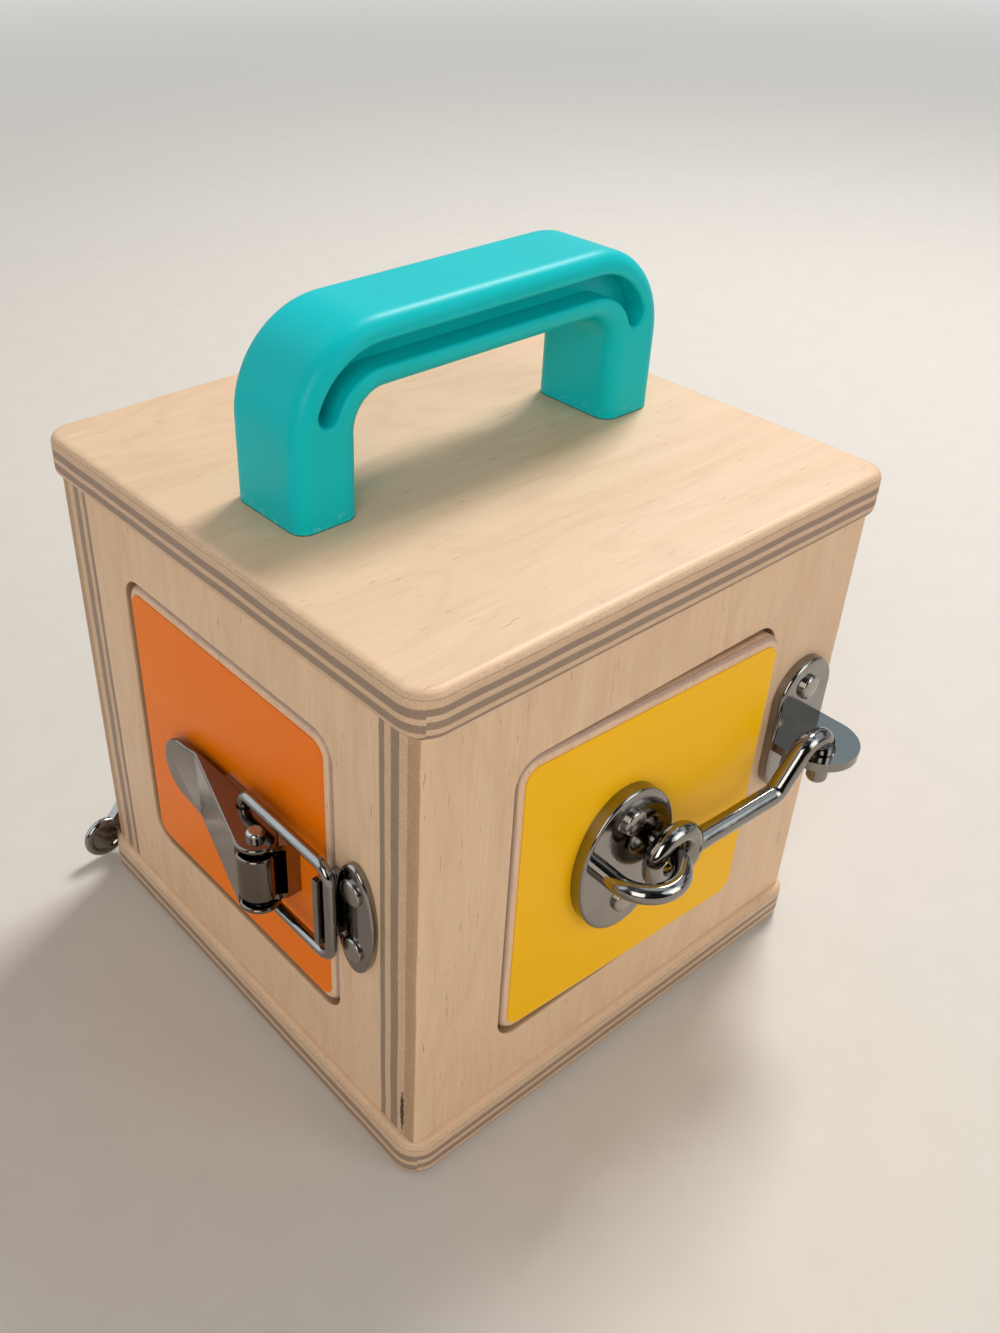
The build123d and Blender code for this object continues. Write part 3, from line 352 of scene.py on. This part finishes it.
def nickel(name, rough=0.1, tone=(150, 146, 141), scratch=0.3, brushed=None):
    """Polished dark nickel plate, with hairline scratches or brushed along one direction."""
    metal = Finish(name)
    haze = metal.noise(metal.place, 90.0, 4.0, 0.6)
    hairs = metal.noise(metal.stretch(metal.place, (160, 1900, 1300), (0.5, 0.9, 0.3)), 1.0, 3.0)
    wave = metal.noise(metal.place, 150.0, 2.0, 0.5)
    satin = metal.steps(haze, [(0.3, rough * 0.75), (0.7, rough * 1.35)])
    bump = metal.relief(wave, 0.00006)
    if brushed:
        lines = metal.noise(metal.stretch(metal.place, brushed), 1.0, 4.0, 0.7)
        satin = metal.steps(lines, [(0.3, rough), (0.7, rough * 2.2)])
        bump = metal.relief(lines, 0.00002, bump)
    bump = metal.relief(metal.steps(hairs, [(0.62, 0.0), (0.7, scratch)]), 0.00001, bump)
    body = metal.mix(metal.steps(haze, [(0.35, 0.0), (0.7, 1.0)]),
                     colour(*tone), colour(*[value * 0.93 for value in tone]))
    return metal.set(Base_Color=body, Metallic=1.0, Roughness=satin, Normal=bump)


polished = nickel("polished_nickel", 0.09)
satin_nickel = nickel("satin_nickel", 0.19, (168, 162, 156))


def fitting(name, verts, faces, face, body, material, *nodes, slot="nickel"):
    """A new piece of metal from local points, riding on its body in place of its parts."""
    crease = radians(35)
    mesh = bpy.data.meshes.new(name)
    mesh.from_pydata([face @ Vector(vert) for vert in verts], [], faces)
    mesh.validate()
    shaped = bmesh.new()
    shaped.from_mesh(mesh)
    bmesh.ops.recalc_face_normals(shaped, faces=shaped.faces)
    shaped.to_mesh(mesh)
    shaped.free()
    mesh.shade_smooth()
    mesh.set_sharp_from_angle(angle=crease)
    mesh.materials.append(material)
    made = bpy.data.objects.new(name, mesh)
    bpy.context.scene.collection.objects.link(made)
    weigh = made.modifiers.new("even_shading", "WEIGHTED_NORMAL")
    weigh.keep_sharp = True
    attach(made, body)
    if nodes:
        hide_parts(*nodes)
    return made


def join(*shapes):
    """Several shapes as one list of points and one of faces."""
    verts, faces = [], []
    for points, sides in shapes:
        faces += [[index + len(verts) for index in side] for side in sides]
        verts += points
    return verts, faces


def tube_faces(rings, around):
    """A band of faces between each two rings of points, and a cap on the first and the last."""
    faces = []
    for ring in range(rings - 1):
        for step in range(around):
            nearby = (step + 1) % around
            faces.append([ring * around + step, ring * around + nearby,
                          (ring + 1) * around + nearby, (ring + 1) * around + step])
    faces.append(list(range(around)))
    faces.append([(rings - 1) * around + step for step in range(around)])
    return faces


def turned(place, profile, around=48):
    """A round shape about the line square to the wall, from radius and height pairs."""
    x, y, z = place
    verts = []
    for radius, height in profile:
        for step in range(around):
            turn = 2 * pi * step / around
            verts.append((x + radius * cos(turn), y + radius * sin(turn), z + height))
    return verts, tube_faces(len(profile), around)


def rivet_head(place, radius, height):
    """A hammered head: an upright side, a small round shoulder and a nearly flat crown."""
    side, crown, below, bends = height * 0.42, height * 0.9, 0.4, 8
    profile = [(radius, -below), (radius, side)]
    for step in range(1, bends + 1):
        turn = radians(90 * step / bends)
        profile.append((radius * (0.72 + 0.28 * cos(turn)), side + (crown - side) * sin(turn)))
    profile += [(radius * 0.6, height * 0.95), (radius * 0.4, height * 0.98),
                (radius * 0.2, height * 0.995), (radius * 0.02, height)]
    return turned(place, profile)


def shank(place, length, radius=1.6):
    return turned(place, [(radius, -length), (radius, 0.1)], 20)


def rivets(name, face, places, seat, radius, height, body, into, *nodes):
    shapes = []
    for x, y in places:
        shapes += [rivet_head((x, y, seat), radius, height), shank((x, y, seat), seat + into)]
    return fitting(name, *join(*shapes), face, body, satin_nickel, *nodes)


head_radius, head_height, low_head_height = 3.4, 1.5, 1.05
small_head_radius, small_head_height = 2.4, 1.1
in_wood = 7.0
door_skin = 0.3
eye_x, eye_y, eye_rivet_reach = -10.0, 73.5, 12.7
eye_thickness = 3.4
rivets("eye_rivet_heads", front_door_face,
       [(eye_x, eye_y - eye_rivet_reach), (eye_x, eye_y + eye_rivet_reach)],
       door_skin + eye_thickness, head_radius, head_height, "front_door", in_wood,
       "eye_plate_rivets")
bracket_x, bracket_y, bracket_rivet_reach = 57.5, 80.5, 12.5
bracket_thickness = 2.8
rivets("bracket_rivet_heads", front_face,
       [(bracket_x, bracket_y - bracket_rivet_reach), (bracket_x, bracket_y + bracket_rivet_reach)],
       bracket_thickness, head_radius, head_height, "carcass", in_wood, "hook_bracket_rivets")
strike_x, toggle_y, strike_rivet_reach = 52.2, 75.0, 9
strike_thickness = 2.0
rivets("strike_rivet_heads", left_face,
       [(strike_x, toggle_y - strike_rivet_reach), (strike_x, toggle_y + strike_rivet_reach)],
       strike_thickness, head_radius, low_head_height, "carcass", in_wood, "toggle_strike_rivets")


# Eye plate: an oval of thick polished dark nickel with a crisp bevelled rim, riveted to the
# yellow door.
def oval(x, y, wide, tall, count=128):
    return [(x + wide / 2 * cos(2 * pi * step / count), y + tall / 2 * sin(2 * pi * step / count))
            for step in range(count)]


def plate(outline, low, thickness, bevel, steps=5):
    """A flat plate on a wall with its upper rim rounded, from a smooth outline."""
    count = len(outline)
    inward = []
    for index in range(count):
        before, after = outline[index - 1], outline[(index + 1) % count]
        run = Vector((after[0] - before[0], after[1] - before[1])).normalized()
        inward.append(Vector((-run.y, run.x)))
    levels = [(0.0, low), (0.0, low + thickness - bevel)]
    levels += [(bevel * (1 - cos(radians(90 * step / steps))),
                low + thickness - bevel + bevel * sin(radians(90 * step / steps)))
               for step in range(1, steps + 1)]
    levels.append((bevel * 1.6, low + thickness))
    verts = []
    for inset, height in levels:
        verts += [(x + way.x * inset, y + way.y * inset, height)
                  for (x, y), way in zip(outline, inward)]
    return verts, tube_faces(len(levels), count)


eye_width, eye_height, eye_bevel = 31, 43, 0.7
fitting("eye_plate_oval",
        *plate(oval(eye_x, eye_y, eye_width, eye_height), door_skin, eye_thickness, eye_bevel),
        front_door_face, "front_door", polished, "eye_plate")


# Eye staple: one thick round nickelled wire bent to a half ring, polished all over. Both of its
# legs are set fast in the eye plate.
def bend(points, radius, step=8.0):
    """The line of a bent wire: straight runs with a round bend at each inner point."""
    line = [Vector(points[0])]
    radii = radius if isinstance(radius, (list, tuple)) else [radius] * (len(points) - 2)
    for index, reach in zip(range(1, len(points) - 1), radii):
        before, here, after = (Vector(points[index + shift]) for shift in (-1, 0, 1))
        run_in, run_out = (before - here).normalized(), (after - here).normalized()
        angle = run_in.angle(run_out)
        setback = reach / abs(sin(angle / 2) / cos(angle / 2))
        middle = here + (run_in + run_out).normalized() * (reach / sin(angle / 2))
        start, end = here + run_in * setback, here + run_out * setback
        turn = pi - angle
        count = max(2, round(degrees(turn) / step))
        for part in range(count + 1):
            share = part / count
            one = (start - middle) * sin(turn * (1 - share)) + (end - middle) * sin(turn * share)
            line.append(middle + one / sin(turn))
    line.append(Vector(points[-1]))
    return line


def wire(line, radius, round_end=0.0, swell=None):
    """A round wire along a line, with a rounded tip and, if given, a swell near its start."""
    around = 32
    distances = [0.0]
    for here, after in zip(line, line[1:]):
        distances.append(distances[-1] + (after - here).length)
    total = distances[-1]
    stations = list(zip(distances, line))

    def at(distance):
        for (d0, p0), (d1, p1) in zip(stations, stations[1:]):
            if distance <= d1:
                return p0.lerp(p1, (distance - d0) / (d1 - d0))
        return line[-1]

    cuts = set(distances)
    if round_end:
        for part in range(1, 8):
            cuts.add(total - round_end * (1 - cos(radians(90 * part / 7))))
    if swell:
        for part in range(1, 9):
            cuts.add(swell[1] * part / 8)
    cuts = sorted(cut for cut in cuts if 0 <= cut <= total)
    spaced = [cuts[0]]
    for cut in cuts[1:]:
        if cut - spaced[-1] > 1e-3:
            spaced.append(cut)
    points = [at(cut) for cut in spaced]
    runs = []
    for index in range(len(points)):
        before = points[max(index - 1, 0)]
        after = points[min(index + 1, len(points) - 1)]
        runs.append((after - before).normalized())
    side = runs[0].orthogonal().normalized()
    verts = []
    for index, (point, run) in enumerate(zip(points, runs)):
        side = (side - run * side.dot(run)).normalized()
        other = run.cross(side)
        size = radius
        if round_end and total - spaced[index] < round_end:
            lack = 1 - (total - spaced[index]) / round_end
            size -= round_end * (1 - (1 - lack * lack) ** 0.5)
        if swell and spaced[index] < swell[1]:
            size += swell[0] * (1 + cos(pi * spaced[index] / swell[1])) / 2
        for step in range(around):
            turn = 2 * pi * step / around
            verts.append(tuple(point + (side * cos(turn) + other * sin(turn)) * max(size, 0.05)))
    return verts, tube_faces(len(points), around)


staple_radius, staple_span, staple_reach = 2.5, 18.1, 17.3
staple_shift, staple_rise = 0.75, 1.1
hook_level = eye_y + staple_rise
staple_middle = eye_x + staple_shift
staple_left = staple_middle - staple_span / 2
staple_right = staple_middle + staple_span / 2
staple_shoulder = staple_reach - staple_span / 2
loop = [Vector((staple_middle + staple_span / 2 * cos(turn), hook_level,
                staple_shoulder + staple_span / 2 * sin(turn)))
        for turn in [radians(5 * step) for step in range(37)]]
staple_line = [Vector((staple_right, hook_level, door_skin)), *loop,
               Vector((staple_left, hook_level, door_skin))]
fitting("eye_staple_wire", *wire(staple_line, staple_radius), front_door_face, "front_door",
        polished, "eye_staple")


# Hook: a polished rod with a ring forged at one end, hung on the staple's right leg. The rod
# runs level, cranks up over the bracket and turns down through its hole to a rounded tip.
hook_out = 9.1
ring_radius, ring_wire, rod_radius = 6.9, 2.6, 2.75
rod_sag, tab_rise, crank_rise = 0.6, 4.9, 6.0
crank_foot, crank_head, crank_bend, tip_below_tab = 17.4, 8.6, 4.4, 9.5
rod_level = hook_level - rod_sag
hole_x = 54.3
tip_x = pin_x + (hole_x - pin_x + (pin_inset + hook_out) * sin(ajar)) / cos(ajar)
tab_top = hook_level + tab_rise
crank_top = tab_top + crank_rise
hook_line = bend([
    (staple_right + ring_radius, rod_level, 0), (tip_x - crank_foot, rod_level, 0),
    (tip_x - crank_head, crank_top, 0), (tip_x, crank_top, 0),
    (tip_x, tab_top - tip_below_tab, 0)], crank_bend)
ring, ring_faces = [], []
ring_steps, wire_steps = 64, 32
for step in range(ring_steps):
    turn = 2 * pi * step / ring_steps
    for part in range(wire_steps):
        way = 2 * pi * part / wire_steps
        reach = ring_radius + ring_wire * cos(way)
        ring.append((staple_right + reach * cos(turn), rod_level + reach * sin(turn),
                     ring_wire * sin(way)))
        ring_faces.append([
            step * wire_steps + part, (step + 1) % ring_steps * wire_steps + part,
            (step + 1) % ring_steps * wire_steps + (part + 1) % wire_steps,
            step * wire_steps + (part + 1) % wire_steps])
hook_face = front_door_face @ Matrix.Translation((0, 0, hook_out))
fitting("hook_rod", *join((ring, ring_faces), wire(
    hook_line, rod_radius, round_end=1.6, swell=(0.15, 9.0))),
    hook_face, "hook", polished, "hook")


# Hook bracket: a thick round-ended plate riveted upright to the wall, with a rounded shelf
# standing out from it that is bored for the hook.
def eased(name, node, bevel, material, body, angle=28, segments=3, clamp=True):
    """The part's own shape with every hard edge eased, as a tumbled and plated fitting has.

    A fold between two broad faces of the sheet metal stays crisp; round faces shade smooth.
    """
    flat_angle, fold_angle, hard_angle = radians(0.4), radians(4), radians(50)
    same_place, broad_face = 1e-6, 2 * mm
    shaped = bmesh.new()
    shaped.from_mesh(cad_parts[node].data)
    bmesh.ops.remove_doubles(shaped, verts=shaped.verts, dist=same_place)
    bmesh.ops.dissolve_limit(shaped, angle_limit=flat_angle, verts=shaped.verts,
                             edges=shaped.edges)
    hard = [edge for edge in shaped.edges
            if len(edge.link_faces) == 2 and edge.calc_face_angle(0) > radians(angle)]
    bmesh.ops.bevel(shaped, geom=hard, offset=bevel * mm, segments=segments, profile=0.5,
                    affect="EDGES", clamp_overlap=clamp)
    for face in shaped.faces:
        face.smooth = True
    for edge in shaped.edges:
        if len(edge.link_faces) == 2:
            turn = edge.calc_face_angle(0)
            widths = [face.calc_area() / max(side.calc_length() for side in face.edges)
                      for face in edge.link_faces]
            fold = turn > fold_angle and min(widths) > broad_face
            edge.smooth = turn < hard_angle and not fold
    mesh = bpy.data.meshes.new(name)
    shaped.to_mesh(mesh)
    shaped.free()
    mesh.materials.append(material)
    made = bpy.data.objects.new(name, mesh)
    bpy.context.scene.collection.objects.link(made)
    weigh = made.modifiers.new("even_shading", "WEIGHTED_NORMAL")
    weigh.keep_sharp = True
    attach(made, body)
    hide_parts(node)
    return made


eased("hook_bracket_shelf", "hook_bracket", 0.35, polished, "carcass")


# Toggle latch: a riveted base with two ears, a pressed lever that turns on the pin between
# them, and a wire bail hooked into the lever. The lever's slope is brushed, the rest polished.
brushed_nickel = nickel("brushed_nickel", 0.07, (122, 112, 104), 0.2, (60, 60, 2600))
eased("toggle_base_plate", "toggle_base", 0.22, polished, "left_door")
eased("toggle_lever_pressing", "toggle_lever", 0.65, brushed_nickel, "toggle_lever", 24, 4, False)
lever_pin_x, toggle_sheet = 24.7, 1.6
far_rivet, near_rivet, bail_eye = 20.0, 9.8, 10.7
rivets("toggle_base_rivet_heads", left_face,
       [(lever_pin_x - far_rivet, toggle_y), (lever_pin_x - near_rivet, toggle_y)],
       door_skin + toggle_sheet, small_head_radius, small_head_height, "left_door", in_wood,
       "toggle_base_rivets")
finish_node("toggle_pin", satin_nickel)
bail_x, bar_x, bail_out = lever_pin_x - bail_eye, 47.9, 5.0
bail_width, bail_radius, bail_start = 28.5, 1.45, 8.6
hooked_bend, bar_bend = 2.7, 4.0
bail_low, bail_high = toggle_y - bail_width / 2, toggle_y + bail_width / 2
bail_line = bend([
    (bail_x, toggle_y + bail_start, 0), (bail_x, bail_high, 0), (bar_x, bail_high, 0),
    (bar_x, bail_low, 0), (bail_x, bail_low, 0), (bail_x, toggle_y - bail_start, 0)],
    [hooked_bend, bar_bend, bar_bend, hooked_bend])
fitting("toggle_bail_wire", *wire(bail_line, bail_radius),
        left_face @ Matrix.Translation((0, 0, bail_out)), "toggle_bail", polished, "toggle_bail")


# Toggle strike: a small oval plate riveted to the wall, its inner edge turned up as the lip
# that the bail's bar drops behind.
eased("toggle_strike_lip", "toggle_strike", 0.3, polished, "carcass", 40)


# Slide bolt: a round bolt with a turned knob in two straps on a plate riveted to the right
# door, and a keeper on the wall.
eased("bolt_plate_straps", "bolt_plate", 0.3, polished, "right_door")
eased("bolt_keeper_strap", "bolt_keeper", 0.3, polished, "carcass")
for node in ("slide_bolt", "bolt_knob"):
    finish_node(node, polished)
bolt_y, plate_x, keeper_x, bolt_sheet = 75.4, 21.4, 52.4, 1.8
plate_rivet_reach, rivet_rise = 13.5, 8.5
rivets("bolt_plate_rivet_heads", right_face,
       [(plate_x + across * plate_rivet_reach, bolt_y + up * rivet_rise)
        for across in (-1, 1) for up in (-1, 1)],
       door_skin + bolt_sheet, small_head_radius, small_head_height, "right_door", in_wood,
       "bolt_plate_rivets")
rivets("bolt_keeper_rivet_heads", right_face,
       [(keeper_x, bolt_y - rivet_rise), (keeper_x, bolt_y + rivet_rise)],
       door_skin + bolt_sheet, small_head_radius, small_head_height, "carcass", in_wood,
       "bolt_keeper_rivets")


# Swing catch: a flat arm that turns on a rivet at the foot of the back wall. Its far end is a
# rimmed thumb dish, and the door's corner has a small worn plate where it passes.
eased("swing_catch_arm", "swing_catch", 0.35, polished, "swing_catch")
for node in ("catch_spacer", "catch_rivet", "catch_plate", "catch_plate_rivet"):
    finish_node(node, satin_nickel)


# Floor and light: a plain pale floor that fades into a pale backdrop, one soft lamp above and to
# the right, weaker ones from the left and the front, and a patchy room that the metal mirrors.
def lamp(name, place, aim, size, power, tone=(255, 250, 244)):
    light = bpy.data.lights.new(name, "AREA")
    light.shape = "RECTANGLE"
    light.size, light.size_y = size
    light.energy = power
    light.color = colour(*tone)[:3]
    made = bpy.data.objects.new(name, light)
    made.location = place
    made.rotation_mode = "QUATERNION"
    made.rotation_quaternion = (Vector(aim) - Vector(place)).to_track_quat("-Z", "Y")
    bpy.context.scene.collection.objects.link(made)


lamp("main_window", (0.75, 0.25, 1.15), (0, 0, 0.08), (0.36, 0.36), 14.5, (252, 251, 250))
lamp("left_window", (-1.0, -0.7, 0.7), (0, 0, 0.08), (0.6, 0.9), 6)
lamp("front_window", (0.5, -1.1, 0.55), (0, 0, 0.08), (0.5, 0.8), 2.6)

room = bpy.data.worlds.new("pale_room")
bpy.context.scene.world = room
room.use_nodes = True
nodes, links = room.node_tree.nodes, room.node_tree.links
nodes.clear()
rays = nodes.new("ShaderNodeLightPath")
shown = nodes.new("ShaderNodeBackground")
backdrop = colour(214, 214, 212)
shown.inputs[0].default_value = backdrop
shown.inputs[1].default_value = 1.0
mirrored = nodes.new("ShaderNodeBackground")
ways = nodes.new("ShaderNodeTexCoord").outputs["Generated"]


def toward(way, near, far, before, after):
    """A shade that changes where the mirrored direction nears the given one."""
    dot = nodes.new("ShaderNodeVectorMath")
    dot.operation = "DOT_PRODUCT"
    dot.inputs[1].default_value = Vector(way).normalized()
    links.new(ways, dot.inputs[0])
    ramp = nodes.new("ShaderNodeValToRGB")
    for element, at, value in zip(ramp.color_ramp.elements, (near, far), (before, after)):
        element.position = at
        element.color = (*value, 1.0)
    links.new(dot.outputs["Value"], ramp.inputs[0])
    return ramp.outputs[0]


def times(first, second):
    made = nodes.new("ShaderNodeMix")
    made.data_type, made.blend_type = "RGBA", "MULTIPLY"
    made.inputs[0].default_value = 1.0
    links.new(first, made.inputs[6])
    links.new(second, made.inputs[7])
    return made.outputs[2]


patches = nodes.new("ShaderNodeTexNoise")
patches.inputs["Scale"].default_value = 2.8
patches.inputs["Detail"].default_value = 1.5
tones = nodes.new("ShaderNodeValToRGB")
for element, at, value in zip(tones.color_ramp.elements, (0.46, 0.54), (0.16, 1.0)):
    element.position = at
    element.color = (value, value, value, 1.0)
links.new(ways, patches.inputs["Vector"])
links.new(patches.outputs[0], tones.inputs[0])
overhead = toward((0, 0, 1), 0.25, 0.75, (0.5, 0.5, 0.5), (0.82, 0.93, 1.0))
viewer = toward((-0.62, -0.75, 0.35), 0.35, 0.8, (1.0, 1.0, 1.0), (0.06, 0.06, 0.065))
seen = times(times(overhead, viewer), tones.outputs[0])
# each window: its direction, where its edge starts and ends, and its light
windows = (((0.52, 0.63, 0.58), 0.84, 0.93, (0.5, 0.64, 0.74, 1.0)),
           ((-0.58, 0.63, 0.52), 0.76, 0.8, (1.3, 1.5, 1.65, 1.0)),
           ((0.35, -0.75, 0.56), 0.93, 0.95, (1.5, 1.75, 1.9, 1.0)))
for way, near, far, tone in windows:
    window = nodes.new("ShaderNodeMix")
    window.data_type = "RGBA"
    links.new(toward(way, near, far, (0.0, 0.0, 0.0), (1.0, 1.0, 1.0)), window.inputs[0])
    links.new(seen, window.inputs[6])
    window.inputs[7].default_value = tone
    seen = window.outputs[2]
links.new(seen, mirrored.inputs[0])
lit = nodes.new("ShaderNodeBackground")
lit.inputs[0].default_value = (1.0, 0.99, 0.97, 1)
lit.inputs[1].default_value = 0.36
first = nodes.new("ShaderNodeMixShader")
second = nodes.new("ShaderNodeMixShader")
links.new(rays.outputs["Is Glossy Ray"], first.inputs[0])
links.new(lit.outputs[0], first.inputs[1])
links.new(mirrored.outputs[0], first.inputs[2])
links.new(rays.outputs["Is Camera Ray"], second.inputs[0])
links.new(first.outputs[0], second.inputs[1])
links.new(shown.outputs[0], second.inputs[2])
links.new(second.outputs[0], nodes.new("ShaderNodeOutputWorld").inputs[0])

ground = Finish("pale_floor")
speck = ground.noise(ground.place, 60.0, 4.0, 0.6)
floor_paint = ground.set(
    Base_Color=ground.mix(speck, colour(206, 200, 192), colour(214, 208, 200)), Roughness=0.75,
    Normal=ground.relief(speck, 0.0002))
reach = 4.0
far = ground.add("ShaderNodeVectorMath", {0: ground.place}, operation="LENGTH").outputs["Value"]
fading = ground.steps(ground.sum("DIVIDE", far, reach), [(0.15, 0.0), (0.5, 1.0)])
straight = ground.add("ShaderNodeLightPath").outputs["Is Camera Ray"]
haze = ground.add("ShaderNodeEmission", {"Color": backdrop})
faded = ground.add("ShaderNodeMixShader", {
    0: ground.sum("MULTIPLY", fading, straight), 1: ground.shader.outputs[0],
    2: haze.outputs[0]})
ground.feed(ground.tree.nodes["Material Output"], "Surface", faded.outputs[0])
floor_mesh = bpy.data.meshes.new("floor")
floor_mesh.from_pydata([(-reach, -reach, 0), (reach, -reach, 0), (reach, reach, 0),
                        (-reach, reach, 0)], [], [[0, 1, 2, 3]])
floor_mesh.materials.append(floor_paint)
floor = bpy.data.objects.new("floor", floor_mesh)
bpy.context.scene.collection.objects.link(floor)


# Camera: where the photograph was taken from, a little above the box and looking down at the
# corner between the two doors.
lens = bpy.data.cameras.new("camera")
lens.sensor_fit = "HORIZONTAL"
lens.sensor_width = 36.0
focal_pixels, picture_pixels = 1278.89, 1000
lens.lens = focal_pixels / picture_pixels * lens.sensor_width
lens.shift_x = 0.1036
lens.shift_y = 0.005
lens.clip_start, lens.clip_end = 0.01, 20.0
camera = bpy.data.objects.new("camera", lens)
bpy.context.scene.collection.objects.link(camera)
ahead = Vector((0.51687, 0.62811, -0.58165)).normalized()
to_right = Vector((0.77356, -0.63372, 0.00306)).normalized()
upward = to_right.cross(ahead)
camera.matrix_world = Matrix.Translation((-0.1955, -0.21463, 0.28915)) @ Matrix(
    (to_right, upward, -ahead)).transposed().to_4x4()
bpy.context.scene.camera = camera
bpy.context.scene.view_settings.view_transform = "Standard"
